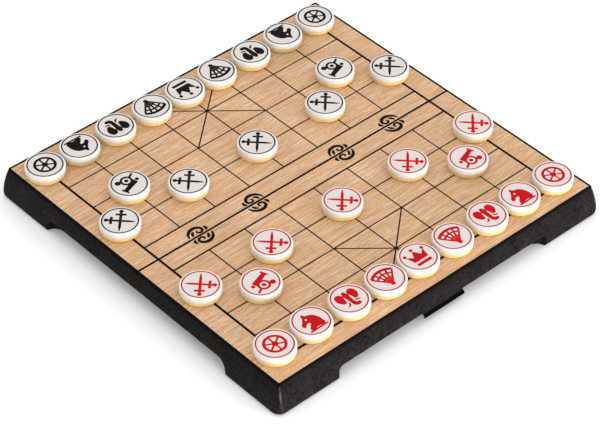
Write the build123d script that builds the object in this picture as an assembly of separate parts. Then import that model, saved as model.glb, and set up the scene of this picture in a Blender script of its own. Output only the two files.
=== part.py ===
from build123d import *
import os
from math import sqrt

# Folding magnetic Chinese chess set, lying open on a table, all sizes in mm.
# X runs along the river, where the case folds. Y runs from the red side to the black side.
# Z is up, with z = 0 at the table. The origin lies under the middle of the river.

# Board and case
file_pitch = 26.7  # between the nine files
rank_pitch = 23.36  # between ranks on each side
river_width = 25.9  # between the two ranks that face each other over the river
files = 9
side_ranks = 5
side_margin = 14.5  # from the outermost file to the panel's edge
end_margin = 12.9  # from the last rank to the panel's edge
rim_width = 1.3  # black rim outside the panel
seam_rim_width = 0.55  # black rim beside the seam
seam_gap = 0.2  # between the two halves, lying open
case_height = 20.0  # table to playing face
rim_proud = 0.1  # the rim stands over the playing face
panel_thickness = 0.6
steel_thickness = 0.5
deck_thickness = 1.6
steel_inset = 1.5  # the steel sheet stays this far inside the panel's edge
panel_clearance = 0.05  # around the panel in its recess
sheet_clearance = 0.2  # around the steel sheet in its recess

# Outer skirt
skirt_flare = 4.1  # how far it bulges past the rim
skirt_waist = 2.4  # height where it is widest
skirt_tuck = 1.0  # how far it comes in again at the table
skirt_curve = 1.5  # power of its curve from there up to the rim, where 1 is straight
skirt_wall = 2.6
corner_radius_top = 1.2
corner_radius_foot = 5.4
least_corner = 0.6  # inside corners are never sharper than this
SKIRT_LEVELS = (0, 0.04, 0.09, 0.15, 0.22, 0.3, 0.4, 0.5, 0.6, 0.7, 0.8, 0.9, 1)  # its sections, as shares of its height
foot_length_x = 45.0  # from the widest corner to the notch in the end walls
foot_length_y = 44.0  # the same along the side walls
end_notch_height = 8.7  # finger notches between the feet
end_notch_radius = 4.0
side_notch_height = 9.9
side_notch_radius = 8.0

# Walls under the deck
recess_depth = 7.2  # from the widest skirt to the wall behind a notch
recess_corner = 8.0  # in plan, where that wall meets the feet
recess_wall = 1.6
recess_lift = 0.2  # those walls end this far above the table
bay_depth = 15.3  # from the widest skirt to the wall behind the clasp
bay_room = 1.8  # beside the clasp's ears
bay_corner = 2.0
seam_wall = 2.2

# Hinge links and pins
pivot_height = 3.0
closing_gap = 0.2  # between the feet of both halves when folded
bead_radius = 2.85  # rounded lower edge of the seam wall, about the hinge line
link_offset = 75.0  # links to each side of the middle
link_width = 14.0
link_radius = 2.5
link_clearance = 0.15  # beside the link, each way
link_swing_room = 0.3  # round the link's ends
pin_radius = 1.0
pin_running = 0.05  # between pin and link, radially
pin_grip = 4.5  # how deep a pin sits in its boss at each end
boss_length = 6.0  # hinge boss at each side of a link

# Clasp on the red side and catch on the black side
clasp_width = 30.5
clasp_pivot_setback = 8.5  # from the rim's outer edge to the clasp pin
clasp_pivot_height = 8.6
clasp_hub_radius = 2.2
clasp_thickness = 1.8
clasp_reach = 13.0  # from the pin to the clasp's tip
clasp_barb = 1.2  # how far the barb hooks in
barb_root = 1.45  # height of the barb's hooking face over the tip
barb_slope = 0.68  # the tip's lower face rises this much to the barb's end
clasp_swing = 65.5  # from the photographed place to hooked, in degrees
lip_drop = 2.0  # length of the bevel at the finger lip
lip_bevel = 0.9  # depth of that bevel
clasp_pin_radius = 0.9
clasp_running = 0.05
ear_thickness = 2.4
ear_clearance = 0.25
ear_radius = 2.4
catch_width = 26.0
catch_height = 1.4
catch_play = 0.12  # between hooked barb and catch
catch_to_arm = 0.25  # between catch and the arm's inner face

# Discs
disc_radius = 12.2
disc_height = 6.6
base_height = 2.7
base_round = 1.0
cap_round = 0.9
joint_step = 0.25  # the base is this much smaller than the cap above it
face_radius = 10.95  # the printed face lies this far out in the cap
face_depth = 0.12  # and is sunk this deep
magnet_radius = 5.0
magnet_thickness = 1.6
magnet_cover = 0.5  # base material under the magnet

# The men on each side's last rank, and where the discs stand, as (dx, dy) from their crossing
BACK_MEN = ("chariot", "horse", "elephant", "advisor", "general", "advisor", "elephant", "horse", "chariot")
RED_BACK = (
    (-0.4, 6.3), (-0.4, 6.3), (0.4, 5.3), (0.6, 4.4), (-0.5, 4.7),
    (-0.7, 4.1), (0.5, 4.1), (-0.1, 3.8), (0.7, 3.3),
)
RED_CANNONS = ((-0.3, 1.6), (1.1, 0.7))
RED_SOLDIERS = ((0.0, -0.8), (-0.6, -1.1), (0.4, -1.1), (-0.7, -1.3), (-0.6, -1.8))
BLACK_BACK = (
    (-1.5, -3.8), (-2.4, -3.8), (-1.5, -3.6), (-0.3, -3.7), (-1.3, -4.0),
    (-1.8, -3.4), (-0.9, -3.4), (-0.6, -2.9), (-0.4, -3.0),
)
BLACK_CANNONS = ((-2.1, -3.4), (0.1, -3.5))
BLACK_SOLDIERS = ((0.2, -1.8), (-1.6, -1.4), (-2.0, -1.6), (-0.1, -0.8), (-0.2, -1.1))
CANNON_FILES = (1, 7)
SOLDIER_FILES = (0, 2, 4, 6, 8)
CANNON_RANK = 2
SOLDIER_RANK = 3

# Sizes that follow from those
panel_half_x = (files - 1) / 2 * file_pitch + side_margin
panel_half_y = river_width / 2 + (side_ranks - 1) * rank_pitch + end_margin
rim_half_x = panel_half_x + rim_width
rim_half_y = panel_half_y + rim_width
wide_half_x = rim_half_x + skirt_flare
wide_half_y = rim_half_y + skirt_flare
rim_top = case_height + rim_proud
deck_top = case_height - panel_thickness - steel_thickness
deck_bottom = deck_top - deck_thickness
half_gap = seam_gap / 2
panel_seam_y = half_gap + seam_rim_width
pivot_offset = pivot_height + closing_gap / 2
recess_half_x = wide_half_x - recess_depth
recess_half_y = wide_half_y - recess_depth
bay_half_y = wide_half_y - bay_depth
end_notch_half = wide_half_x - foot_length_x
side_notch_half = wide_half_y - foot_length_y
clasp_pivot_y = rim_half_y - clasp_pivot_setback
ear_half = clasp_width / 2 + ear_clearance + ear_thickness
bay_half = ear_half + bay_room
far = 2 * (wide_half_x + wide_half_y)  # well past the whole case
past = 1.0  # how far a cut runs past the face it opens


def box(x0, x1, y0, y1, z0, z1):
    """A box between two opposite corners."""
    middle = ((x0 + x1) / 2, (y0 + y1) / 2, (z0 + z1) / 2)
    return Pos(*middle) * Box(x1 - x0, y1 - y0, z1 - z0)


def rod_x(y, z, radius, x0, x1):
    """A round rod along X."""
    return Pos((x0 + x1) / 2, y, z) * Rot(0, 90, 0) * Cylinder(radius, x1 - x0)


def skirt_bulge(z):
    """How far the skirt stands out past the rim at height z."""
    if z >= skirt_waist:
        return skirt_flare * (1 - ((z - skirt_waist) / (rim_top - skirt_waist)) ** skirt_curve)
    return skirt_flare - skirt_tuck * ((skirt_waist - z) / skirt_waist) ** 2


def skirt_body(inset, top, bottom):
    """The whole case's skirt as a solid, drawn in by inset, from bottom to top."""
    rings = []
    for share in SKIRT_LEVELS:
        z = bottom + (top - bottom) * share
        radius = corner_radius_foot + (corner_radius_top - corner_radius_foot) * share
        out = skirt_bulge(z) - inset
        corner = max(radius - inset, least_corner)
        section = RectangleRounded(2 * (rim_half_x + out), 2 * (rim_half_y + out), corner)
        rings.append(Pos(0, 0, z) * section)
    return loft(rings)


def notch_profile(half, height, radius):
    """The outline of a finger notch, with its upper corners rounded and its foot below the table."""
    profile = Rectangle(2 * half, 2 * height)
    return fillet(profile.vertices().group_by(Axis.Y)[-1], radius)


def recess_plan(half, face, corner, grow):
    """The ground plan of a recess that is open towards -Y, with its back at y = -face."""
    reach = far - face + grow
    plan = Pos(0, -far + reach / 2) * Rectangle(2 * (half + grow), reach)
    return fillet(plan.vertices().group_by(Axis.Y)[-1], corner + grow)


def end_recess(grow, low, high):
    """The room behind the notch in an end wall, with the deeper bay for the clasp, between two heights."""
    plan = recess_plan(end_notch_half, recess_half_y, recess_corner, grow)
    plan += recess_plan(bay_half, bay_half_y, bay_corner, grow)
    return Pos(0, 0, low) * extrude(plan, high - low)


def side_recess(grow, low, high):
    """The room behind the notches in both side walls, between two heights."""
    plan = recess_plan(side_notch_half, recess_half_x, recess_corner, grow)
    room = Pos(0, 0, low) * extrude(plan, high - low)
    return Rot(0, 0, 90) * room + Rot(0, 0, -90) * room


def end_notch():
    """The finger notch through an end wall, between the two feet."""
    tunnel = extrude(Plane.XZ * notch_profile(end_notch_half, end_notch_height, end_notch_radius), far)
    return tunnel & end_recess(0, -past, end_notch_height + past)


def side_notch():
    """The finger notch through both side walls, running over the river."""
    outline = notch_profile(side_notch_half, side_notch_height, side_notch_radius)
    tunnel = extrude(Plane.YZ * outline, far, both=True)
    return tunnel & side_recess(0, -past, side_notch_height + past)


def recess_walls():
    """The walls behind the notches. Their ends run into the middle of the skirt's wall."""
    bands = end_recess(recess_wall, recess_lift, deck_top) - end_recess(0, recess_lift, deck_top)
    bands += side_recess(recess_wall, recess_lift, deck_top) - side_recess(0, recess_lift, deck_top)
    return bands & skirt_body(skirt_wall / 2, deck_top, recess_lift)


def seam_relief():
    """What is cut away beside the seam below the hinge line, so that the halves can roll over."""
    corner = box(-far, far, -pivot_offset, far, -far, pivot_height)
    return corner - rod_x(-pivot_offset, pivot_height, bead_radius, -far, far)


def hinge_boss(x):
    """The block that holds one link's pin, on the seam wall."""
    half = link_width / 2 + link_clearance + boss_length
    back = -pivot_offset - bead_radius
    block = box(x - half, x + half, back, -half_gap, pivot_height, deck_top)
    return block + rod_x(-pivot_offset, pivot_height, bead_radius, x - half, x + half)


def link_pocket(x):
    """Room for one link to swing, cut into the seam wall."""
    half = link_width / 2 + link_clearance
    reach = link_radius + link_swing_room
    return box(x - half, x + half, -pivot_offset - reach, past, -past, pivot_height + reach)


def hinge_pin(x):
    """One steel pin, on the red side."""
    half = link_width / 2 + link_clearance + pin_grip
    return rod_x(-pivot_offset, pivot_height, pin_radius, x - half, x + half)


def hinge_link(x):
    """One link, lying flat between its two pins."""
    half = link_width / 2
    low, high = pivot_height - link_radius, pivot_height + link_radius
    bar = box(x - half, x + half, -pivot_offset, pivot_offset, low, high)
    for y in (-pivot_offset, pivot_offset):
        bar += rod_x(y, pivot_height, link_radius, x - half, x + half)
    for y in (-pivot_offset, pivot_offset):
        bar -= rod_x(y, pivot_height, pin_radius + pin_running, x - half - past, x + half + past)
    return bar


def half_shell():
    """One moulded half, on the red side, before what only one side has."""
    wall = skirt_body(0, rim_top, 0)
    hollow = skirt_body(skirt_wall, deck_bottom, -past)
    body = wall - hollow + recess_walls()
    body -= side_notch()
    body = body & box(-far, far, -far, -half_gap, 0, far)
    inner_x = recess_half_x - recess_wall / 2
    body += box(-inner_x, inner_x, -half_gap - seam_wall, -half_gap, pivot_height, deck_top)
    body += rod_x(-pivot_offset, pivot_height, bead_radius, -inner_x, inner_x)
    for x in (-link_offset, link_offset):
        body += hinge_boss(x)
    body -= end_notch()
    panel_seat = case_height - panel_thickness
    body -= box(-panel_half_x, panel_half_x, -panel_half_y, -panel_seam_y, panel_seat, far)
    steel_x = panel_half_x - steel_inset
    steel_y = panel_half_y - steel_inset
    body -= box(-steel_x, steel_x, -steel_y, -panel_seam_y - steel_inset, deck_top, far)
    body -= seam_relief()
    for x in (-link_offset, link_offset):
        body -= link_pocket(x)
        body -= hinge_pin(x)
    return body


def clasp_ears():
    """The two lugs that carry the clasp pin."""
    lugs = []
    near = clasp_width / 2 + ear_clearance
    for side in (-1, 1):
        x0, x1 = sorted((side * near, side * (near + ear_thickness)))
        lug = rod_x(-clasp_pivot_y, clasp_pivot_height, ear_radius, x0, x1)
        top = deck_bottom + deck_thickness / 2
        lug += box(x0, x1, -clasp_pivot_y - ear_radius, -clasp_pivot_y + ear_radius, clasp_pivot_height, top)
        back = -bay_half_y + recess_wall / 2
        lug += box(x0, x1, -clasp_pivot_y, back, clasp_pivot_height, top)
        lugs.append(lug)
    return lugs[0] + lugs[1]


def clasp_pin():
    """The steel pin through both lugs and the clasp."""
    return rod_x(-clasp_pivot_y, clasp_pivot_height, clasp_pin_radius, -ear_half, ear_half)


def clasp():
    """The clasp as photographed, drawn hooked about its pin and swung out from there."""
    outer = clasp_hub_radius
    inner = clasp_hub_radius - clasp_thickness
    tip = outer - lip_bevel
    barb_end = inner - clasp_barb
    barb_top = -(clasp_reach - barb_root)
    barb_side = -sqrt(barb_top**2 - barb_end**2)
    outline = [
        (outer, 0),
        (outer, -(clasp_reach - lip_drop)),
        (tip, -clasp_reach),
        (barb_end, -clasp_reach + barb_slope),
        (barb_end, barb_side),
        (inner, barb_top),
        (inner, 0),
    ]
    flap = make_face(Polyline(*outline, close=True))
    flap += Circle(clasp_hub_radius)
    flap -= Circle(clasp_pin_radius + clasp_running)
    hooked = extrude(flap, clasp_width / 2, both=True)
    # The drawing's X becomes outward, its Y up
    stood = Plane(origin=(0, 0, 0), x_dir=(0, -1, 0), z_dir=(-1, 0, 0)) * hooked
    swung = Rot(-clasp_swing, 0, 0) * stood
    return Pos(0, -clasp_pivot_y, clasp_pivot_height) * swung


def catch_rib():
    """The rib that the barb hooks under, on the red side before its half is turned round."""
    radius = clasp_reach - barb_root - catch_play
    nose = clasp_hub_radius - clasp_thickness - catch_to_arm
    folded_low = clasp_pivot_height - sqrt(radius**2 - nose**2)
    top = -closing_gap - folded_low
    y0 = -clasp_pivot_y - nose
    y1 = -bay_half_y + recess_wall / 2
    half = catch_width / 2
    return box(-half, half, y0, y1, top - catch_height, top)


def panel():
    """The printed sheet in its recess."""
    c = panel_clearance
    return box(
        -panel_half_x + c, panel_half_x - c, -panel_half_y + c, -panel_seam_y - c,
        case_height - panel_thickness, case_height,
    )


def steel_sheet():
    """The steel sheet under the printed one."""
    x = panel_half_x - steel_inset - sheet_clearance
    y0 = -panel_half_y + steel_inset + sheet_clearance
    y1 = -panel_seam_y - steel_inset - sheet_clearance
    return box(-x, x, y0, y1, deck_top, deck_top + steel_thickness)


def disc():
    """One disc as three solids, standing at the origin: cap, base and magnet."""
    base_radius = disc_radius - joint_step
    base = Pos(0, 0, base_height / 2) * Cylinder(base_radius, base_height)
    foot = base.edges().group_by(Axis.Z)[0]
    base = fillet(foot, base_round)
    magnet = Pos(0, 0, magnet_cover + magnet_thickness / 2) * Cylinder(magnet_radius, magnet_thickness)
    base -= magnet
    cap_height = disc_height - base_height
    cap = Pos(0, 0, base_height + cap_height / 2) * Cylinder(disc_radius, cap_height)
    cap = fillet(cap.edges().group_by(Axis.Z)[-1], cap_round)
    cap -= Pos(0, 0, disc_height) * Cylinder(face_radius, 2 * face_depth)
    return cap, base, magnet


def turned(shape):
    """The same thing on the black side."""
    return Rot(0, 0, 180) * shape


def crossing(file, rank, side):
    """A crossing on one side: rank 0 is that side's last rank, file 0 is at low X."""
    x = (file - (files - 1) / 2) * file_pitch
    y = river_width / 2 + (side_ranks - 1 - rank) * rank_pitch
    return x, side * y


def disc_places():
    """Yields each disc's name and where it stands."""
    for colour, side, back, cannons, soldiers in (
        ("red", -1, RED_BACK, RED_CANNONS, RED_SOLDIERS),
        ("black", 1, BLACK_BACK, BLACK_CANNONS, BLACK_SOLDIERS),
    ):
        rows = (
            (0, tuple(enumerate(BACK_MEN)), back),
            (CANNON_RANK, tuple((f, "cannon") for f in CANNON_FILES), cannons),
            (SOLDIER_RANK, tuple((f, "soldier") for f in SOLDIER_FILES), soldiers),
        )
        for rank, men, offsets in rows:
            for (file, man), (dx, dy) in zip(men, offsets):
                x, y = crossing(file, rank, side)
                yield f"{colour}_{man}_file{file + 1}", x + dx, y + dy


def save(name, *solids):
    """Writes one sub-part as its own file."""
    shape = solids[0] if len(solids) == 1 else Compound(children=list(solids))
    shape.label = name
    export_step(shape, f"parts/{name}.step")


os.makedirs("parts", exist_ok=True)

plain_half = half_shell()
red_shell = plain_half + clasp_ears() - clasp_pin()
black_shell = turned(plain_half + catch_rib())

save("red_shell", red_shell)
save("black_shell", black_shell)
save("red_panel", panel())
save("black_panel", turned(panel()))
save("red_steel_sheet", steel_sheet())
save("black_steel_sheet", turned(steel_sheet()))
save("hinge_links", *[hinge_link(x) for x in (-link_offset, link_offset)])
save("red_hinge_pins", *[hinge_pin(x) for x in (-link_offset, link_offset)])
save("black_hinge_pins", *[turned(hinge_pin(x)) for x in (-link_offset, link_offset)])
save("clasp", clasp())
save("clasp_pin", clasp_pin())

disc_solids = disc()
for name, x, y in disc_places():
    save(name, *[Pos(x, y, case_height) * solid for solid in disc_solids])
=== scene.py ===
"""Dresses a folding magnetic Chinese chess set: finishes, board print, disc faces and a pale studio."""

import math

import bmesh
import bpy
from bpy.props import FloatProperty, FloatVectorProperty, PointerProperty
from mathutils import Matrix, Vector


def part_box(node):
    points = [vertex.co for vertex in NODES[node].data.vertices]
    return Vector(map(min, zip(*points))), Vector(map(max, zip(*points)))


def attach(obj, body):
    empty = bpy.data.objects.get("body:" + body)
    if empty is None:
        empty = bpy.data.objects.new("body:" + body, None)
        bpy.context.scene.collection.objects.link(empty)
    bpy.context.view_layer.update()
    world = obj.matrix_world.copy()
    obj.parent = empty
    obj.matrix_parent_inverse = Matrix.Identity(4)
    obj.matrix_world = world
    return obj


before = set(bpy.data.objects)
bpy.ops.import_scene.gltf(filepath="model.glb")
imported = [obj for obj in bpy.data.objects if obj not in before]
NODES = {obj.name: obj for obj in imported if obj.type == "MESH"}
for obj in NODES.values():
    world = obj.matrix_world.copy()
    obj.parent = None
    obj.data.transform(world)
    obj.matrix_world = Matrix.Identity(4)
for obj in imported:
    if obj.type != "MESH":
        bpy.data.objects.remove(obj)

bl_info = {
    "name": "Magnetic chess set dressing",
    "version": (1, 0, 0),
    "blender": (4, 5, 0),
    "location": "3D View > Sidebar > Chess set",
    "description": "Finishes, board print, disc faces and studio for a folding magnetic Chinese chess set",
    "category": "Object",
}

MM = 0.001

# Board layout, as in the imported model
FILES = 9
SIDE_RANKS = 5
FILE_PITCH = 26.7 * MM
RANK_PITCH = 23.36 * MM
RIVER_WIDTH = 25.9 * MM
PALACE_FILES = (3, 5)
PALACE_RANKS = (2, 4)  # counted from the river
DIAGONALS = ((1, 0.8), (-1, 0.7))  # which way each turns, and its part of the ink's height

# Sides of the river along Y
HALVES = (("red", -1), ("black", 1))

# River scrolls: where they stand along the river, and which way round
SCROLL_PLACES = ((-75.5, 1), (-33.6, -1), (34.0, 1), (75.0, -1))

# One half of a river scroll in mm: brush strokes of (x, y, pressure), drawn beside the seam
SCROLL_STROKES = (
    ((-7.0, 1.5, 0.5), (-5.3, 4.9, 1.0), (-1.4, 6.9, 1.25), (2.6, 5.9, 1.15), (3.7, 3.2, 0.95),
     (1.6, 1.7, 0.8), (-0.3, 3.0, 0.7), (0.7, 4.3, 0.5)),
    ((-4.2, 1.3, 0.6), (-3.2, 3.5, 1.05), (-1.7, 4.7, 0.5)),
    ((5.2, 1.3, 0.55), (6.3, 2.9, 1.15), (5.9, 4.9, 0.5)),
)


ROUND_KNOTS = 8
FAN_PIVOT = -6.2  # mm, the y of the point that the fan opens from
FAN_ANGLES = (-0.68, -0.34, 0, 0.34, 0.68)


def ring_points(x, y, radius, pressure=1.0):
    """Points of a round stroke."""
    angles = [2 * math.pi * k / ROUND_KNOTS for k in range(ROUND_KNOTS)]
    return tuple((x + radius * math.cos(a), y + radius * math.sin(a), pressure) for a in angles)


def spoke(x, y, inner, outer, degrees, pressure):
    """A straight stroke that points away from (x, y)."""
    c, s = math.cos(math.radians(degrees)), math.sin(math.radians(degrees))
    return ((x + inner * c, y + inner * s, pressure), (x + outer * c, y + outer * s, pressure))


def fan_arc(radius, pressure):
    """A stroke along an arc of the fan."""
    return tuple((radius * math.sin(a), radius * math.cos(a) + FAN_PIVOT, pressure) for a in FAN_ANGLES)


EAR = ((-2.1, 4.7), (-5.0, 6.4), (-7.2, 3.8), (-6.4, -0.2), (-3.7, -1.9), (-2.4, 1.2))

# The discs' marks in mm, their tops towards +Y, each a row of (kind, points). Brush strokes have points
# (x, y, pressure): a "line" is straight from point to point, a "curve" is smooth, and a "round" is smooth and
# closed. Filled shapes have points (x, y): a "solid" has straight sides and a "form" smooth ones. A "dot" is
# (x, y, radius).
MARKS = {
    "chariot": (
        ("round", ring_points(0, 0, 6.1, pressure=1.15)),
        *(("line", spoke(0, 0, -5.6, 5.6, a, 0.8)) for a in (30, 90, 150)),
        ("dot", (0, 0, 1.9)),
    ),
    "horse": (
        ("form", ((-4.6, -5.6), (-3.2, -3.0), (-1.7, -0.9), (-3.6, -0.6), (-5.9, -2.2), (-7.0, -0.5),
                  (-4.9, 2.0), (-2.9, 4.7), (-1.9, 7.0), (-0.2, 5.2), (2.9, 3.9), (5.2, 0.5), (5.7, -3.0),
                  (5.4, -5.6), (0.4, -5.7))),
        ("form", ((-2.4, 2.5), (-1.5, 3.2), (-1.2, 2.2), (-2.0, 1.7))),
        ("curve", ((1.4, 1.9, 0.5), (2.6, 0.0, 0.3), (2.8, -2.4, 0.2))),
        ("line", ((-6.1, -6.7, 0.85), (6.3, -6.7, 0.85))),
    ),
    "elephant": (
        ("form", EAR),
        ("form", tuple((-x, y) for x, y in EAR)),
        ("form", ((0.0, 6.4), (1.6, 4.5), (1.5, 0.8), (1.3, -2.2), (1.7, -4.2), (3.4, -4.7), (3.7, -6.1),
                  (1.5, -7.0), (-0.8, -5.6), (-1.3, -2.4), (-1.5, 0.8), (-1.6, 4.5))),
        ("curve", ((-2.2, -2.6, 0.8), (-3.2, -4.3, 0.8), (-4.9, -4.9, 0.4))),
        ("curve", ((2.3, -2.2, 0.8), (3.4, -3.1, 0.8), (5.4, -3.3, 0.4))),
    ),
    "advisor": (
        ("curve", fan_arc(12.2, 1.35)),
        ("curve", fan_arc(8.9, 0.9)),
        ("curve", fan_arc(5.2, 0.9)),
        *(("line", spoke(0, FAN_PIVOT, 0.4, 12.0, a, 0.85)) for a in (51.6, 70.8, 90, 109.2, 128.4)),
        ("dot", (0, FAN_PIVOT, 1.4)),
    ),
    "general": (
        ("solid", ((-5.0, -2.9), (-6.5, 3.6), (-2.9, 0.6), (0.0, 5.6), (2.9, 0.6), (6.5, 3.6), (5.0, -2.9))),
        ("solid", ((-5.2, -6.4), (-5.2, -4.3), (5.2, -4.3), (5.2, -6.4))),
        ("dot", (-6.5, 4.4, 1.15)),
        ("dot", (0, 6.5, 1.15)),
        ("dot", (6.5, 4.4, 1.15)),
    ),
    "cannon": (
        ("solid", ((-5.2, 1.9), (5.6, 5.5), (6.5, 2.9), (-4.0, -1.5))),
        ("line", ((5.0, 6.4, 0.9), (6.8, 1.9, 0.9))),
        ("dot", (-6.0, -0.3, 1.2)),
        ("round", ring_points(-0.2, -2.9, 3.2, pressure=1.0)),
        ("dot", (-0.2, -2.9, 1.3)),
        ("line", ((-2.6, -3.9, 1.05), (-6.9, -6.3, 0.95))),
        ("dot", (5.1, -4.3, 1.8)),
    ),
    "soldier": (
        ("line", ((-4.8, -4.8, 1.15), (3.6, 4.0, 1.1), (6.0, 6.6, 0.35))),
        ("line", ((4.8, -4.8, 1.15), (-3.6, 4.0, 1.1), (-6.0, 6.6, 0.35))),
        ("line", ((-6.0, -1.4, 1.1), (-1.5, -5.8, 1.1))),
        ("line", ((6.0, -1.4, 1.1), (1.5, -5.8, 1.1))),
        ("dot", (-5.7, -5.7, 1.3)),
        ("dot", (5.7, -5.7, 1.3)),
    ),
}


# Sizes and colours a user may change


def length(name, description, millimetres):
    """A length property whose default is given in millimetres."""
    return FloatProperty(
        name=name, description=description, default=millimetres * MM, min=0.0, precision=5,
        subtype="DISTANCE", unit="LENGTH",
    )


def colour(name, description, value):
    """A colour property."""
    return FloatVectorProperty(
        name=name, description=description, default=value, size=3, min=0.0, max=1.0, subtype="COLOR",
    )


class ChessBoardPrint(bpy.types.PropertyGroup):
    """Sizes and colours of the printed playing faces."""

    border_line: length("Border line", "Width of the lines round the grid", 1.58)
    river_line: length("River line", "Width of the two ranks beside the river", 1.2)
    inner_line: length("Inner line", "Width of the other grid lines", 0.86)
    ink_height: length("Ink height", "How far the ink stands over the panel", 0.03)
    ink_depth: length("Ink depth", "How far the ink reaches into the panel", 0.05)
    scroll_stroke: length("Scroll stroke", "Widest brush stroke of the river scrolls", 1.9)
    wood: colour("Wood", "Ground tone of the wood print", (0.55, 0.3411, 0.1634))
    dark_wood: colour("Dark wood", "Tone of the dark streaks", (0.3783, 0.2102, 0.1048))
    pale_wood: colour("Pale wood", "Tone of the pale streaks", (0.69, 0.505, 0.35))
    line_ink: colour("Line ink", "Colour of the printed lines", (0.003, 0.0025, 0.0025))


class ChessDiscPrint(bpy.types.PropertyGroup):
    """Sizes and colours of the discs."""

    recess: length("Face recess", "How deep the face lies under the disc's edge", 0.12)
    face_radius: length("Face radius", "Radius of the printed face", 10.9)
    face_thickness: length("Face thickness", "Thickness of the printed face", 0.05)
    ring_radius: length("Ring radius", "Radius of the ring line", 10.53)
    ring_width: length("Ring width", "Width of the ring line", 0.8)
    mark_stroke: length("Mark stroke", "Width of the marks' strokes", 1.5)
    ink_height: length("Ink height", "Height of the ink on the face", 0.03)
    base_height: length("Base height", "Height of the amber base", 2.7)
    # How far up the cap the amber's painted glow and shade reach
    glow_height: length("Glow height", "How far the amber shines up into the cap", 1.3)
    cap: colour("Cap", "Colour of the white cap", (0.62, 0.605, 0.575))
    base: colour("Base", "Colour of the amber base", (0.7, 0.495, 0.17))
    face: colour("Face", "Colour of the printed face", (0.606, 0.558, 0.529))
    red_ink: colour("Red ink", "Colour of the red side's marks", (0.446, 0.003, 0.006))
    black_ink: colour("Black ink", "Colour of the black side's marks", (0.004, 0.003, 0.003))


class ChessCase(bpy.types.PropertyGroup):
    """Colours of the case."""

    shell: colour("Shell", "Colour of the grained shells", (0.0072, 0.0058, 0.0057))
    clasp: colour("Clasp", "Colour of the smooth clasp", (0.0208, 0.0196, 0.0196))
    # Beyond this reach the clasp's lip is painted near-black as shade
    clasp_flat: length("Clasp flat", "How far the clasp's flat part reaches from its pin", 11.0)
    link: colour("Links", "Colour of the hinge links", (0.006, 0.006, 0.006))
    flare: length("Flare", "How far the shells' skirt stands out past their rim", 4.1)
    grain: length("Grain", "Size of the leather grain's cells", 1.1)
    steel: colour("Steel", "Colour of the steel pins and sheets", (0.56, 0.55, 0.54))


class ChessStudio(bpy.types.PropertyGroup):
    """The studio: how the set is lit and seen."""

    lens: length("Lens", "Focal length of the camera", 152.0)
    distance: length("Distance", "From the camera to the point it looks at", 1465.6)
    look_at: FloatVectorProperty(
        name="Look at", description="The point the camera looks at", default=(-0.0214, -0.025, 0.02), size=3,
        subtype="TRANSLATION", unit="LENGTH",
    )
    azimuth: FloatProperty(
        name="Azimuth", description="Turn of the camera about the vertical", default=math.radians(-41.92),
        subtype="ANGLE", unit="ROTATION",
    )
    elevation: FloatProperty(
        name="Elevation", description="Height of the camera over the horizon", default=math.radians(41.55),
        subtype="ANGLE", unit="ROTATION",
    )
    sky: FloatProperty(name="Sky", description="Strength of the even studio light", default=1.2, min=0.0)
    key: FloatProperty(
        name="Key light", description="Power of the soft light in front", default=30.0, min=0.0,
        subtype="POWER", unit="POWER",
    )
    key_place: FloatVectorProperty(
        name="Key place", description="Middle of the soft light in front", default=(0.2, -1.5, 0.165), size=3,
        subtype="TRANSLATION", unit="LENGTH",
    )
    key_width: length("Key width", "Width of the soft light in front", 1200.0)
    key_height: length("Key height", "Height of the soft light in front", 250.0)
    floor: colour("Floor", "Colour of the pale floor", (0.95, 0.95, 0.95))


# Shader maths


class Signal:
    """A shader socket that takes part in Python expressions."""

    def __init__(self, finish, socket):
        self.finish, self.socket = finish, socket

    def _maths(self, operation, *values):
        return self.finish.node("ShaderNodeMath", {"operation": operation}, dict(enumerate(values)))

    def __add__(self, other):
        return self._maths("ADD", self, other)

    __radd__ = __add__

    def __sub__(self, other):
        return self._maths("SUBTRACT", self, other)

    def __rsub__(self, other):
        return self._maths("SUBTRACT", other, self)

    def __mul__(self, other):
        return self._maths("MULTIPLY", self, other)

    __rmul__ = __mul__

    def __abs__(self):
        return self._maths("ABSOLUTE", self)

    def __gt__(self, other):
        return self._maths("GREATER_THAN", self, other)

    def __lt__(self, other):
        return self._maths("LESS_THAN", self, other)

    def between(self, low, high):
        """0 at low, 1 at high, and even between them."""
        return self.finish.node(
            "ShaderNodeMapRange", {"clamp": True}, {"Value": self, "From Min": low, "From Max": high})


# The Mix node's sockets for colours
MIX_A, MIX_B, MIX_RESULT = 6, 7, 2


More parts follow.
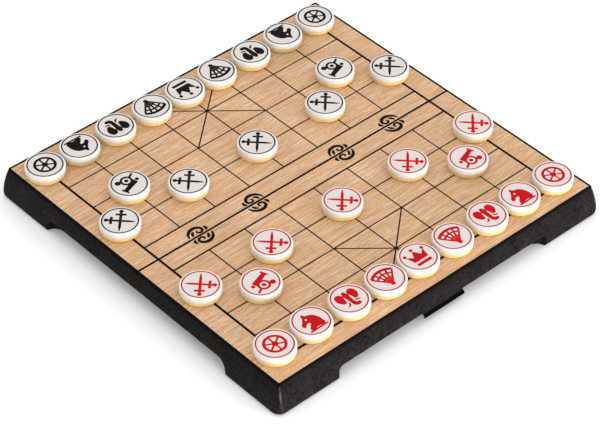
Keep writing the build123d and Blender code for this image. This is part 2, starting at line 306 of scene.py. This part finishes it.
class Finish:
    """A material that is built from nodes."""

    def __init__(self, name):
        self.material = bpy.data.materials.new(name)
        self.material.use_nodes = True
        self.tree = self.material.node_tree
        self.tree.nodes.clear()

    def node(self, kind, settings=None, inputs=None, output=0):
        """Adds a node. Its settings come first, then the values or links of its sockets."""
        new = self.tree.nodes.new(kind)
        for key, value in (settings or {}).items():
            setattr(new, key, value)
        for key, value in (inputs or {}).items():
            if isinstance(value, Signal):
                self.tree.links.new(value.socket, new.inputs[key])
            else:
                new.inputs[key].default_value = value
        return Signal(self, new.outputs[output]) if new.outputs else None

    def place(self):
        """Object coordinates in metres."""
        return self.node("ShaderNodeTexCoord", output="Object")

    def axes(self, where):
        """The three parts of a vector."""
        split = self.node("ShaderNodeSeparateXYZ", None, {0: where})
        return [Signal(self, part) for part in split.socket.node.outputs]

    def vector(self, x, y, z):
        """A vector of three signals."""
        return self.node("ShaderNodeCombineXYZ", None, {0: x, 1: y, 2: z})

    def noise(self, where, scale, detail=2.0, roughness=0.5, output=0):
        """Smooth noise from 0 to 1."""
        return self.node(
            "ShaderNodeTexNoise", None,
            {"Vector": where, "Scale": scale, "Detail": detail, "Roughness": roughness}, output)

    def cells(self, where, scale, feature="F1"):
        """Distance to the middle or, with DISTANCE_TO_EDGE, to the edge of scattered cells."""
        return self.node(
            "ShaderNodeTexVoronoi", {"feature": feature}, {"Vector": where, "Scale": scale}, "Distance")

    def mix(self, factor, a, b):
        """Mixes two colours."""
        tones = {k: v if isinstance(v, Signal) else (*v, 1.0) for k, v in ((MIX_A, a), (MIX_B, b))}
        return self.node("ShaderNodeMix", {"data_type": "RGBA"}, {0: factor, **tones}, MIX_RESULT)

    def bump(self, height, distance, strength=1.0):
        """A normal that follows a height in metres times distance."""
        return self.node(
            "ShaderNodeBump", None, {"Strength": strength, "Distance": distance, "Height": height})

    def surface(self, **inputs):
        """Ends the material in one Principled surface."""
        sockets = {name.replace("_", " "): value for name, value in inputs.items()}
        shader = self.node("ShaderNodeBsdfPrincipled", None, sockets)
        self.node("ShaderNodeOutputMaterial", None, {"Surface": shader})
        return self.material


# Finishes

# Black shells, by height over the table
SHELL_TOP = 20.0 * MM
GRAIN_FADE = (18.4 * MM, 19.2 * MM)  # the grain gives way to the smooth rim
# Painted shade: the shells' walls are painted darker towards the rim
WALL_SHADE = (9.0 * MM, 19.0 * MM)  # the walls darken towards the rim
CORNER_HIGHLIGHT_RISE = (3.0 * MM, 14.0 * MM)  # the corners' painted highlight grows brighter
HIGHLIGHT_START = 0.4 * MM  # spread of the painted highlight's strip at the top
HIGHLIGHT_SPREAD = 0.16  # and how much it grows with each unit of depth
HIGHLIGHT_WIDTH = 0.9 * MM
# Grey of the painted highlight on the corners
HIGHLIGHT_GREY = (0.14, 0.13, 0.125)
# Painted shade on the clasp's lip, beyond its flat part
LIP_SHADE_BLACK = (0.0012, 0.001, 0.001)

# Leather grain of the shells: how many waves or small cells fit in one cell of the grain
GRAIN_WANDER = 0.55
SMALL_CELLS = 2.3
MOTTLE = 0.55
WORN_PATCHES = 0.09
GRAIN_TONES = (0.02, 2.6)  # darkest and palest, as parts of the shell's colour; the darkest is painted shade in the grain's creases

# Scuffs and drawn lines: noise per metre along and across them
SCUFFS = (140.0, 2200.0)
DRAWN_LINES = (60.0, 5200.0)

# Relief
GRAIN_RELIEF = 0.16 * MM
PLASTIC_RELIEF = 0.05 * MM
PRINT_RELIEF = 0.02 * MM
FINE_RELIEF = 0.01 * MM  # steel, ink and discs

# Streaks of the wood print: noise per metre along and across the grain, a shift of its own, and its detail
BROAD_STREAKS = (10.0, 170.0, 3.7, 2.0)
MIDDLE_STREAKS = (40.0, 800.0, 0.0, 3.0)
PALE_STREAKS = (42.0, 950.0, 21.3, 2.0)
HONEY_STREAKS = (34.0, 700.0, 47.9, 2.0)
FINE_STREAKS = (240.0, 1900.0, 8.1, 2.0)
PORES = (700.0, 1600.0, 63.1, 2.0)
GRAIN_SWAY = 6.0 * MM
HONEY = (0.66, 0.33, 0.12)
FINE_BROWN = (0.441, 0.196, 0.108)
PORE_TONE = (0.72, 0.5, 0.33)

# Discs: the painted glow of the amber through the cap, a darker tint, and the joint between cap and base
PAINTED_GLOW = (0.56, 0.38, 0.17)
JOINT = (0.45, 0.3, 0.14)
JOINT_BELOW, JOINT_ABOVE = 0.14 * MM, 0.02 * MM
CAP_DEPTH = 2.0 * MM  # how far light goes into the plastic
CAP_TINT = (1.0, 0.7, 0.35)


def shade(tone, strength):
    """A colour made darker or paler, but never paler than white."""
    return tuple(min(1.0, strength * part) for part in tone)


def grained_plastic(name, tone, cell, corner):
    """Black moulded plastic with a fine leather grain and a smooth rim, with painted shade in the grain's
    creases and towards the rim, and a painted highlight down its corners on a strip of smoother plastic.
    """
    f = Finish(name)
    where = f.place()
    x, y, z = f.axes(where)
    wander = f.noise(where, GRAIN_WANDER / cell, 1.0, output="Color")
    warped = f.node(
        "ShaderNodeVectorMath", {"operation": "MULTIPLY_ADD"}, {0: wander, 1: (cell,) * 3, 2: where})
    coarse = f.cells(warped, 1 / cell, "DISTANCE_TO_EDGE")
    fine = f.cells(warped, SMALL_CELLS / cell, "DISTANCE_TO_EDGE")
    creases = coarse.between(0.0, 0.22) * 0.7 + fine.between(0.0, 0.2) * 0.3
    mottle = f.noise(where, MOTTLE / cell, 2.0, 0.6).between(0.36, 0.64)
    worn = f.noise(where, WORN_PATCHES / cell, 3.0, 0.6).between(0.3, 0.7)
    grained = 1.0 - z.between(*GRAIN_FADE)
    # Painted shade: the walls are painted darker towards the rim
    painted_wall_shade = 1.0 - z.between(*WALL_SHADE) * 0.36
    # The grain's creases are painted darker, as shade; mottle and worn patches vary the tone at random
    depth = (creases * 0.46 + mottle * 0.34 + worn * 0.2).between(0.2, 0.8) * grained * painted_wall_shade
    tone_now = f.mix(depth, *(shade(tone, strength) for strength in GRAIN_TONES))
    # The skirt's corners follow the rim's corner outwards, and the strip of painted highlight widens on the
    # way down
    spread = (SHELL_TOP - z) * HIGHLIGHT_SPREAD + HIGHLIGHT_START
    off_corner = abs(abs(x) - corner.x - (abs(y) - corner.y) + spread * 0.9)
    smooth_highlight_strip = (1.0 - (off_corner - spread * 0.1).between(0.0, HIGHLIGHT_WIDTH)) * grained
    # Painted highlight: a grey strip down each corner, brighter with height; the strip is also smoother
    painted_highlight = smooth_highlight_strip * (mottle * 0.6 + 0.15) * z.between(*CORNER_HIGHLIGHT_RISE)
    tone_now = f.mix(painted_highlight, tone_now, HIGHLIGHT_GREY)
    rough = 0.52 + (1.0 - creases) * 0.14 - smooth_highlight_strip * 0.15
    return f.surface(
        Base_Color=tone_now, Roughness=rough, Specular_IOR_Level=0.05,
        Normal=f.bump(creases * grained + mottle * 0.5, GRAIN_RELIEF, 0.9))


def smooth_plastic(name, tone, roughness):
    """Smooth moulded plastic with a faint unevenness and hairline scuffs."""
    f = Finish(name)
    where = f.place()
    x, y, z = f.axes(where)
    cloud = f.noise(where, 90.0, 3.0)
    along, across = SCUFFS
    scuffs = f.noise(f.vector(x * across, y * along, z * along), 1.0)
    tone_now = f.mix(cloud, shade(tone, 0.8), shade(tone, 1.35))
    rough = roughness + (cloud - 0.5) * 0.1 + scuffs.between(0.55, 0.8) * 0.05
    return f.surface(
        Base_Color=tone_now, Roughness=rough, Specular_IOR_Level=0.5,
        Normal=f.bump(cloud, PLASTIC_RELIEF, 0.4))


def clasp_plastic(name, tone, pin, flat):
    """Smooth black plastic; beyond the clasp's flat part the lip is painted near-black, as painted shade."""
    f = Finish(name)
    where = f.place()
    x, y, z = f.axes(where)
    cloud = f.noise(where, 260.0, 3.0)
    along, across = SCUFFS
    scuffs = f.noise(f.vector(x * along, y * across, z * along), 1.0)
    from_pin_y, from_pin_z = y - pin.y, z - pin.z
    lip = (from_pin_y * from_pin_y + from_pin_z * from_pin_z) > flat * flat
    tone_now = f.mix(cloud, shade(tone, 0.6), shade(tone, 1.4))
    # Painted shade: the lip beyond the flat part is painted near-black
    tone_now = f.mix(lip, tone_now, LIP_SHADE_BLACK)
    rough = 0.3 + (cloud - 0.5) * 0.1 + scuffs.between(0.55, 0.8) * 0.06
    return f.surface(
        Base_Color=tone_now, Roughness=rough, Specular_IOR_Level=0.02,
        Normal=f.bump(cloud, PLASTIC_RELIEF, 0.4))


def bright_steel(name, tone):
    """Plain drawn steel with fine lines along X."""
    f = Finish(name)
    where = f.place()
    x, y, z = f.axes(where)
    along, across = DRAWN_LINES
    lines = f.noise(f.vector(x * along, y * across, z * across), 1.0, 3.0, 0.6)
    tarnish = f.noise(where, 70.0, 4.0, 0.6)
    tone_now = f.mix(tarnish, shade(tone, 0.75), tone)
    return f.surface(
        Base_Color=tone_now, Metallic=1.0, Roughness=0.24 + lines * 0.16 + tarnish * 0.08,
        Normal=f.bump(lines, FINE_RELIEF, 0.5))


def wood_print(name, ground, dark, pale):
    """A printed sheet of pale, straight-grained wood, its streaks along the river."""
    f = Finish(name)
    where = f.place()
    x, y, z = f.axes(where)
    across = y + (f.noise(where, 16.0) - 0.5) * GRAIN_SWAY

    def streaks(along, over, shift, detail):
        return f.noise(f.vector(x * along + shift, across * over, z), 1.0, detail, 0.6)

    middle, fine = streaks(*MIDDLE_STREAKS), streaks(*FINE_STREAKS)
    darker = streaks(*BROAD_STREAKS).between(0.3, 0.72) * 0.3 + middle.between(0.42, 0.66) * 0.85
    tone = f.mix(darker, ground, dark)
    tone = f.mix(streaks(*PALE_STREAKS).between(0.46, 0.64) * 0.95, tone, pale)
    tone = f.mix(streaks(*HONEY_STREAKS).between(0.48, 0.66) * 0.75, tone, HONEY)
    tone = f.mix(fine.between(0.5, 0.7) * 0.95, tone, FINE_BROWN)
    tone = f.mix(streaks(*PORES).between(0.48, 0.7) * 0.5, tone, PORE_TONE)
    return f.surface(
        Base_Color=tone, Roughness=0.42 + middle * 0.12, Specular_IOR_Level=0.3,
        Normal=f.bump(middle * 0.6 + fine * 0.4, PRINT_RELIEF, 0.4))


def line_ink(name, tone, roughness=0.38):
    """Printing ink: even colour with a slightly uneven gloss."""
    f = Finish(name)
    mottle = f.noise(f.place(), 900.0)
    tone_now = f.mix(mottle, shade(tone, 0.7), shade(tone, 1.3))
    return f.surface(
        Base_Color=tone_now, Roughness=roughness + (mottle - 0.5) * 0.2, Specular_IOR_Level=0.04,
        Normal=f.bump(mottle, FINE_RELIEF, 0.5))


def disc_plastic(name, cap, base, split_height, glow_height):
    """White cap over an amber base, both glossy: the cap's lower edge carries painted glow and shade, a
    darker amber tint standing in for the amber's light through it.
    """
    f = Finish(name)
    where = f.place()
    height = f.axes(where)[2]
    cloud = f.noise(where, 160.0, 3.0).between(0.3, 0.7)
    speck = f.noise(where, 2600.0)
    amber = f.mix(cloud, shade(base, 0.86), shade(base, 1.1))
    white = f.mix(cloud, shade(cap, 0.95), cap)
    # Painted glow and shade: the cap's lower edge is a darker amber tint near the base
    glow = 1.0 - height.between(split_height, split_height + glow_height)
    tone = f.mix(height > split_height, amber, f.mix(glow * 0.62, white, PAINTED_GLOW))
    joint = (height > split_height - JOINT_BELOW) * (height < split_height + JOINT_ABOVE)
    tone = f.mix(joint * 0.5, tone, JOINT)
    return f.surface(
        Base_Color=tone, Roughness=0.3 + (speck - 0.5) * 0.08, Specular_IOR_Level=0.45,
        Subsurface_Weight=0.25, Subsurface_Radius=CAP_TINT, Subsurface_Scale=CAP_DEPTH,
        Normal=f.bump(speck, FINE_RELIEF, 0.35))


def face_film(name, tone):
    """The disc's printed face: matt white with a fine tooth."""
    f = Finish(name)
    where = f.place()
    tooth = f.noise(where, 1500.0, 3.0, 0.6)
    weave = f.cells(where, 2400.0)
    tone_now = f.mix(tooth.between(0.3, 0.7) * 0.6 + weave * 0.4, shade(tone, 0.9), shade(tone, 1.06))
    return f.surface(
        Base_Color=tone_now, Roughness=0.62 + (tooth - 0.5) * 0.15, Specular_IOR_Level=0.3,
        Normal=f.bump(tooth * 0.6 + weave * 0.4, PRINT_RELIEF, 0.5))


def floor_paper(name, tone):
    """Pale paper with a hardly visible unevenness."""
    f = Finish(name)
    dust = f.noise(f.place(), 6.0, 3.0)
    return f.surface(Base_Color=f.mix(dust, shade(tone, 0.985), tone), Roughness=0.75, Specular_IOR_Level=0.2)


# Shapes

CURVE_STEPS = 6  # between two points of a smooth stroke or form
BRUSH_STEPS = 3  # round a quarter of a stroke
FORM_RISE = 0.8  # height of filled shapes as part of the strokes' height
SAME_PLACE = 0.0005 * MM  # corners nearer than this are merged


def new_piece(name, bm, *materials):
    """Turns a bmesh into an object of the scene."""
    mesh = bpy.data.meshes.new(name)
    bm.to_mesh(mesh)
    bm.free()
    for material in materials:
        mesh.materials.append(material)
    piece = bpy.data.objects.new(name, mesh)
    bpy.context.scene.collection.objects.link(piece)
    return piece


def thicken(bm, faces, rise):
    """Makes flat faces a slab that rises by the given height."""
    raised = bmesh.ops.extrude_face_region(bm, geom=faces, use_keep_orig=True)
    verts = [v for v in raised["geom"] if isinstance(v, bmesh.types.BMVert)]
    bmesh.ops.translate(bm, vec=(0, 0, rise), verts=verts)


def cell_grid(bm, xs, ys, keep):
    """A grid whose corners lie at xs and ys, with only the cells that keep(column, row) wants."""
    made = bmesh.ops.create_grid(bm, x_segments=len(xs) - 1, y_segments=len(ys) - 1, size=1.0)
    if len(made["verts"]) != len(xs) * len(ys):
        raise RuntimeError("the grid has another number of corners than its lines need")
    for v in made["verts"]:
        column = round((v.co.x + 1) / 2 * (len(xs) - 1))
        row = round((v.co.y + 1) / 2 * (len(ys) - 1))
        v.co = (xs[column], ys[row], 0)
    unwanted = []
    for face in bm.faces:
        middle = face.calc_center_median()
        column = sum(1 for x in xs if x < middle.x) - 1
        row = sum(1 for y in ys if y < middle.y) - 1
        if not keep(column, row):
            unwanted.append(face)
    bmesh.ops.delete(bm, geom=unwanted, context="FACES")


def curve_mesh(name, parts, **settings):
    """The mesh of a curve whose splines are (kind, points), with x and y in mm and perhaps a pressure."""
    curve = bpy.data.curves.new(name, "CURVE")
    curve.resolution_u = CURVE_STEPS
    for key, value in settings.items():
        setattr(curve, key, value)
    for kind, points in parts:
        spline = curve.splines.new("BEZIER")
        spline.bezier_points.add(len(points) - 1)
        for knot, (x, y, *pressure) in zip(spline.bezier_points, points):
            knot.co = (x * MM, y * MM, 0)
            knot.radius = pressure[0] if pressure else 1.0
        for knot in spline.bezier_points:
            knot.handle_left_type = knot.handle_right_type = "VECTOR" if kind in ("line", "solid") else "AUTO"
        spline.use_cyclic_u = kind in ("round", "solid", "form")
    holder = bpy.data.objects.new(name, curve)
    bpy.context.scene.collection.objects.link(holder)
    bpy.context.view_layer.update()
    mesh = bpy.data.meshes.new_from_object(holder.evaluated_get(bpy.context.evaluated_depsgraph_get()))
    bpy.data.objects.remove(holder)
    bpy.data.curves.remove(curve)
    return mesh


def print_mesh(name, parts, width, height):
    """A printed mark as one low mesh round z = 0: its strokes are rounded, its filled shapes flat."""
    parts = [
        ("form", tuple(p[:2] for p in ring_points(*points))) if kind == "dot" else (kind, points)
        for kind, points in parts
    ]
    strokes = [part for part in parts if part[0] in ("line", "curve", "round")]
    filled = [part for part in parts if part[0] in ("solid", "form")]
    bm = bmesh.new()
    if strokes:
        mesh = curve_mesh(
            name, strokes, dimensions="3D", bevel_depth=width / 2, bevel_resolution=BRUSH_STEPS,
            use_fill_caps=True)
        highest = max(v.co.z for v in mesh.vertices)
        add_mesh(bm, mesh, Matrix.Diagonal((1, 1, height / highest, 1)))
        bpy.data.meshes.remove(mesh)
    if filled:
        mesh = curve_mesh(name, filled, dimensions="2D", fill_mode="BOTH", extrude=FORM_RISE * height)
        add_mesh(bm, mesh, Matrix.Identity(4))
        bpy.data.meshes.remove(mesh)
    mesh = bpy.data.meshes.new(name)
    bm.to_mesh(mesh)
    bm.free()
    return mesh


def add_mesh(bm, mesh, matrix, material_index=0):
    """Adds a mesh to a bmesh, in its place."""
    before = set(bm.faces)
    copy = mesh.copy()
    copy.transform(matrix)
    bm.from_mesh(copy)
    bpy.data.meshes.remove(copy)
    for face in bm.faces:
        if face not in before:
            face.material_index = material_index


def finish_shape(bm):
    """Merges doubled corners and points all faces outwards."""
    bmesh.ops.remove_doubles(bm, verts=bm.verts[:], dist=SAME_PLACE)
    bmesh.ops.recalc_face_normals(bm, faces=bm.faces[:])


def paint(names, material):
    """Gives CAD nodes a material."""
    for name in names:
        for slot in NODES[name].material_slots:
            slot.material = material


# Operators

STEEL_NODES = ("red_steel_sheet", "black_steel_sheet", "red_hinge_pins", "black_hinge_pins", "clasp_pin")
DISC_NODES = sorted(name for name in NODES if "_file" in name)
ROUND_SEGMENTS = 96

# The studio in metres, but for the camera's sensor in mm
SENSOR_WIDTH = 36.0
SIGHT = (0.05, 20.0)
FLOOR_REACH = 4.0
FLOOR_CELLS = 8  # along each side


class CHESS_OT_finish_case(bpy.types.Operator):
    """Gives the shells, clasp, links and steel parts their finishes."""

    bl_idname = "chess.finish_case"
    bl_label = "Finish the case"

    def execute(self, context):
        look = context.scene.chess_case
        low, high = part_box("red_shell")
        rim_corner = Vector((high.x - look.flare, -low.y - look.flare, 0))
        grained = grained_plastic("grained_black_plastic", tuple(look.shell), look.grain, rim_corner)
        paint(("red_shell", "black_shell"), grained)
        low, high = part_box("clasp_pin")
        pin = (low + high) / 2
        paint(("clasp",), clasp_plastic("clasp_plastic", tuple(look.clasp), pin, look.clasp_flat))
        paint(("hinge_links",), smooth_plastic("link_plastic", tuple(look.link), 0.38))
        paint(STEEL_NODES, bright_steel("bright_steel", tuple(look.steel)))
        return {"FINISHED"}


class CHESS_OT_print_boards(bpy.types.Operator):
    """Prints the wood, the grid, the palaces and the river scrolls on both playing panels."""

    bl_idname = "chess.print_boards"
    bl_label = "Print the playing faces"

    def execute(self, context):
        look = context.scene.chess_board
        ink = line_ink("board_ink", tuple(look.line_ink))
        wood = wood_print("wood_print", tuple(look.wood), tuple(look.dark_wood), tuple(look.pale_wood))
        for colour_name, side in HALVES:
            panel = f"{colour_name}_panel"
            paint((panel,), wood)
            low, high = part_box(panel)
            seam = high.y if side < 0 else low.y
            prints = (
                ("board_lines", self.grid_lines(look, side, seam, high.z)),
                ("river_scrolls", self.river_scrolls(look, side, high.z)),
            )
            for kind, shape in prints:
                piece = new_piece(f"{colour_name}_{kind}", shape, ink)
                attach(piece, f"{colour_name}_half")
        return {"FINISHED"}

    def grid_lines(self, look, side, seam, top):
        """The half's grid and palace diagonals."""
        def edges(at, width):
            return [at - width / 2, at + width / 2]

        xs = []
        for k in range(FILES):
            at = (k - (FILES - 1) / 2) * FILE_PITCH
            xs += edges(at, look.border_line if k in (0, FILES - 1) else look.inner_line)
        ys = [seam * side]
        for k in range(SIDE_RANKS):
            width = (look.river_line, *(look.inner_line,) * (SIDE_RANKS - 2), look.border_line)[k]
            ys += edges(RIVER_WIDTH / 2 + k * RANK_PITCH, width)
        last = 2 * (FILES - 1)

        def on_line(column, row):
            if row % 2 == 1:
                return True
            return column % 2 == 0 and (row > 0 or column in (0, last))

        bm = bmesh.new()
        cell_grid(bm, xs, ys, on_line)
        thicken(bm, bm.faces[:], look.ink_depth + look.ink_height)
        self.palace(bm, look)
        for v in bm.verts:
            v.co.y *= side
            v.co.z += top - look.ink_depth
        finish_shape(bm)
        return bm

    def palace(self, bm, look):
        """The palace's two diagonals, lower than the grid that they cross and each in a plane of its own."""
        half_x = (PALACE_FILES[1] - PALACE_FILES[0]) / 2 * FILE_PITCH
        y0, y1 = (RIVER_WIDTH / 2 + k * RANK_PITCH for k in PALACE_RANKS)
        run = Vector((2 * half_x, y1 - y0))
        for turn, rise in DIAGONALS:
            place = (
                Matrix.Translation((0, (y0 + y1) / 2, 0))
                @ Matrix.Rotation(turn * math.atan2(run.y, run.x), 4, "Z")
                @ Matrix.Diagonal((run.length / 2, look.inner_line / 2, 1, 1))
            )
            bar = bmesh.ops.create_grid(bm, x_segments=1, y_segments=1, size=1.0, matrix=place)
            faces = list({f for v in bar["verts"] for f in v.link_faces})
            thicken(bm, faces, look.ink_depth + look.ink_height * rise)

    def river_scrolls(self, look, side, top):
        """The half's share of the river scrolls, which meet the other half's at the seam."""
        strokes = [("curve", points) for points in SCROLL_STROKES]
        mesh = print_mesh("scroll", strokes, look.scroll_stroke, look.ink_height)
        bm = bmesh.new()
        for x, way in SCROLL_PLACES:
            place = Matrix.Translation((x * MM, 0, top)) @ Matrix.Diagonal((way, 1, 1, 1))
            if side < 0:
                place = place @ Matrix.Rotation(math.pi, 4, "Z")
            add_mesh(bm, mesh, place)
        bpy.data.meshes.remove(mesh)
        finish_shape(bm)
        return bm


class CHESS_OT_finish_discs(bpy.types.Operator):
    """Gives every disc its white cap and amber base."""

    bl_idname = "chess.finish_discs"
    bl_label = "Finish the discs"

    def execute(self, context):
        look = context.scene.chess_discs
        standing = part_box("red_general_file5")[0].z
        plastic = disc_plastic(
            "disc_plastic", tuple(look.cap), tuple(look.base), standing + look.base_height, look.glow_height)
        paint(DISC_NODES, plastic)
        return {"FINISHED"}


class CHESS_OT_print_discs(bpy.types.Operator):
    """Prints a ring and a man's mark on the face of every disc."""

    bl_idname = "chess.print_discs"
    bl_label = "Print the discs' faces"

    def execute(self, context):
        look = context.scene.chess_discs
        film = face_film("face_film", tuple(look.face))
        inks = {
            "red": line_ink("red_ink", tuple(look.red_ink), 0.3),
            "black": line_ink("black_ink", tuple(look.black_ink), 0.3),
        }
        faces = {man: self.face_mesh(look, man) for man in MARKS}
        for node in DISC_NODES:
            side, man, _ = node.split("_")
            low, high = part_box(node)
            turn = 0.0 if side == "red" else math.pi
            place = Matrix.Translation(((low.x + high.x) / 2, (low.y + high.y) / 2, high.z - look.recess))
            bm = bmesh.new()
            bm.from_mesh(faces[man])
            bmesh.ops.transform(bm, matrix=place @ Matrix.Rotation(turn, 4, "Z"), verts=bm.verts[:])
            piece = new_piece(f"{node}_face", bm, film, inks[side])
            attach(piece, f"disc_{node}")
        for mesh in faces.values():
            bpy.data.meshes.remove(mesh)
        return {"FINISHED"}

    def face_mesh(self, look, man):
        """A disc's face at the origin: the film, the ring line and the mark."""
        bm = bmesh.new()
        bmesh.ops.create_circle(bm, cap_ends=True, segments=ROUND_SEGMENTS, radius=look.face_radius)
        thicken(bm, bm.faces[:], look.face_thickness)
        self.ring(bm, look)
        mark = print_mesh(man, MARKS[man], look.mark_stroke, look.ink_height)
        add_mesh(bm, mark, Matrix.Translation((0, 0, look.face_thickness)), 1)
        bpy.data.meshes.remove(mark)
        finish_shape(bm)
        mesh = bpy.data.meshes.new(f"{man}_face")
        bm.to_mesh(mesh)
        bm.free()
        return mesh

    def ring(self, bm, look):
        """The ring line: a small upright rectangle spun round the middle."""
        inner, outer = look.ring_radius - look.ring_width / 2, look.ring_radius + look.ring_width / 2
        low, high = look.face_thickness / 2, look.face_thickness + look.ink_height
        places = ((inner, 0, low), (outer, 0, low), (outer, 0, high), (inner, 0, high))
        corners = [bm.verts.new(place) for place in places]
        sides = [bm.edges.new((corners[k - 1], corners[k])) for k in range(len(corners))]
        before = set(bm.faces)
        bmesh.ops.spin(
            bm, geom=corners + sides, cent=(0, 0, 0), axis=(0, 0, 1), angle=2 * math.pi, steps=ROUND_SEGMENTS,
            use_merge=True, use_duplicate=False)
        for face in bm.faces:
            if face not in before:
                face.material_index = 1


class CHESS_OT_set_studio(bpy.types.Operator):
    """Sets the pale floor, the soft lights and the camera."""

    bl_idname = "chess.set_studio"
    bl_label = "Set the studio"

    def execute(self, context):
        look = context.scene.chess_studio
        self.camera(context, look)
        self.floor(look)
        self.lights(context, look)
        context.scene.view_settings.view_transform = "Standard"
        return {"FINISHED"}

    def camera(self, context, look):
        """The camera at the angle of the view to match."""
        data = bpy.data.cameras.new("camera")
        data.sensor_width = SENSOR_WIDTH
        data.lens = look.lens / MM
        data.clip_start, data.clip_end = SIGHT
        rig = bpy.data.objects.new("camera", data)
        back = Vector((
            math.sin(look.azimuth) * math.cos(look.elevation),
            -math.cos(look.azimuth) * math.cos(look.elevation),
            math.sin(look.elevation),
        ))
        rig.location = Vector(look.look_at) + back * look.distance
        rig.rotation_euler = back.to_track_quat("Z", "Y").to_euler()
        context.scene.collection.objects.link(rig)
        context.scene.camera = rig

    def floor(self, look):
        """A wide pale floor."""
        bm = bmesh.new()
        bmesh.ops.create_grid(bm, x_segments=FLOOR_CELLS, y_segments=FLOOR_CELLS, size=FLOOR_REACH)
        floor = new_piece("studio_floor", bm, floor_paper("studio_floor", tuple(look.floor)))

    def lights(self, context, look):
        """An even white sky and one wide, low soft light in front of the red side."""
        world = bpy.data.worlds.new("studio_sky")
        world.use_nodes = True
        sky = world.node_tree.nodes["Background"]
        sky.inputs["Color"].default_value = (1.0, 1.0, 1.0, 1.0)
        sky.inputs["Strength"].default_value = look.sky
        context.scene.world = world
        lamp = bpy.data.lights.new("key_light", "AREA")
        lamp.shape = "RECTANGLE"
        lamp.size, lamp.size_y = look.key_width, look.key_height
        lamp.energy = look.key
        rig = bpy.data.objects.new("key_light", lamp)
        rig.location = look.key_place
        rig.rotation_euler = Vector(look.key_place).to_track_quat("Z", "Y").to_euler()
        context.scene.collection.objects.link(rig)


class CHESS_PT_dressing(bpy.types.Panel):
    """Lists the steps that dress the chess set."""

    bl_idname = "CHESS_PT_dressing"
    bl_label = "Chess set"
    bl_space_type = "VIEW_3D"
    bl_region_type = "UI"
    bl_category = "Chess set"

    def draw(self, context):
        for group, operator in STEPS:
            box = self.layout.box()
            look = getattr(context.scene, group)
            for name in look.bl_rna.properties.keys():
                if name not in ("rna_type", "name"):
                    box.prop(look, name)
            box.operator(operator)


GROUPS = (
    ("chess_studio", ChessStudio),
    ("chess_case", ChessCase),
    ("chess_board", ChessBoardPrint),
    ("chess_discs", ChessDiscPrint),
)
OPERATORS = (
    CHESS_OT_set_studio,
    CHESS_OT_finish_case,
    CHESS_OT_print_boards,
    CHESS_OT_finish_discs,
    CHESS_OT_print_discs,
)
STEPS = (
    ("chess_studio", "chess.set_studio"),
    ("chess_case", "chess.finish_case"),
    ("chess_board", "chess.print_boards"),
    ("chess_discs", "chess.finish_discs"),
    ("chess_discs", "chess.print_discs"),
)


def register():
    """Adds the properties, operators and panel."""
    for name, group in GROUPS:
        bpy.utils.register_class(group)
        setattr(bpy.types.Scene, name, PointerProperty(type=group))
    for operator in OPERATORS:
        bpy.utils.register_class(operator)
    bpy.utils.register_class(CHESS_PT_dressing)


def unregister():
    """Takes them out again."""
    bpy.utils.unregister_class(CHESS_PT_dressing)
    for operator in reversed(OPERATORS):
        bpy.utils.unregister_class(operator)
    for name, group in reversed(GROUPS):
        delattr(bpy.types.Scene, name)
        bpy.utils.unregister_class(group)


def main():
    """Dresses the set."""
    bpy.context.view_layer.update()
    register()
    bpy.ops.chess.set_studio()
    bpy.ops.chess.finish_case()
    bpy.ops.chess.print_boards()
    bpy.ops.chess.finish_discs()
    bpy.ops.chess.print_discs()


if __name__ == "__main__":
    main()
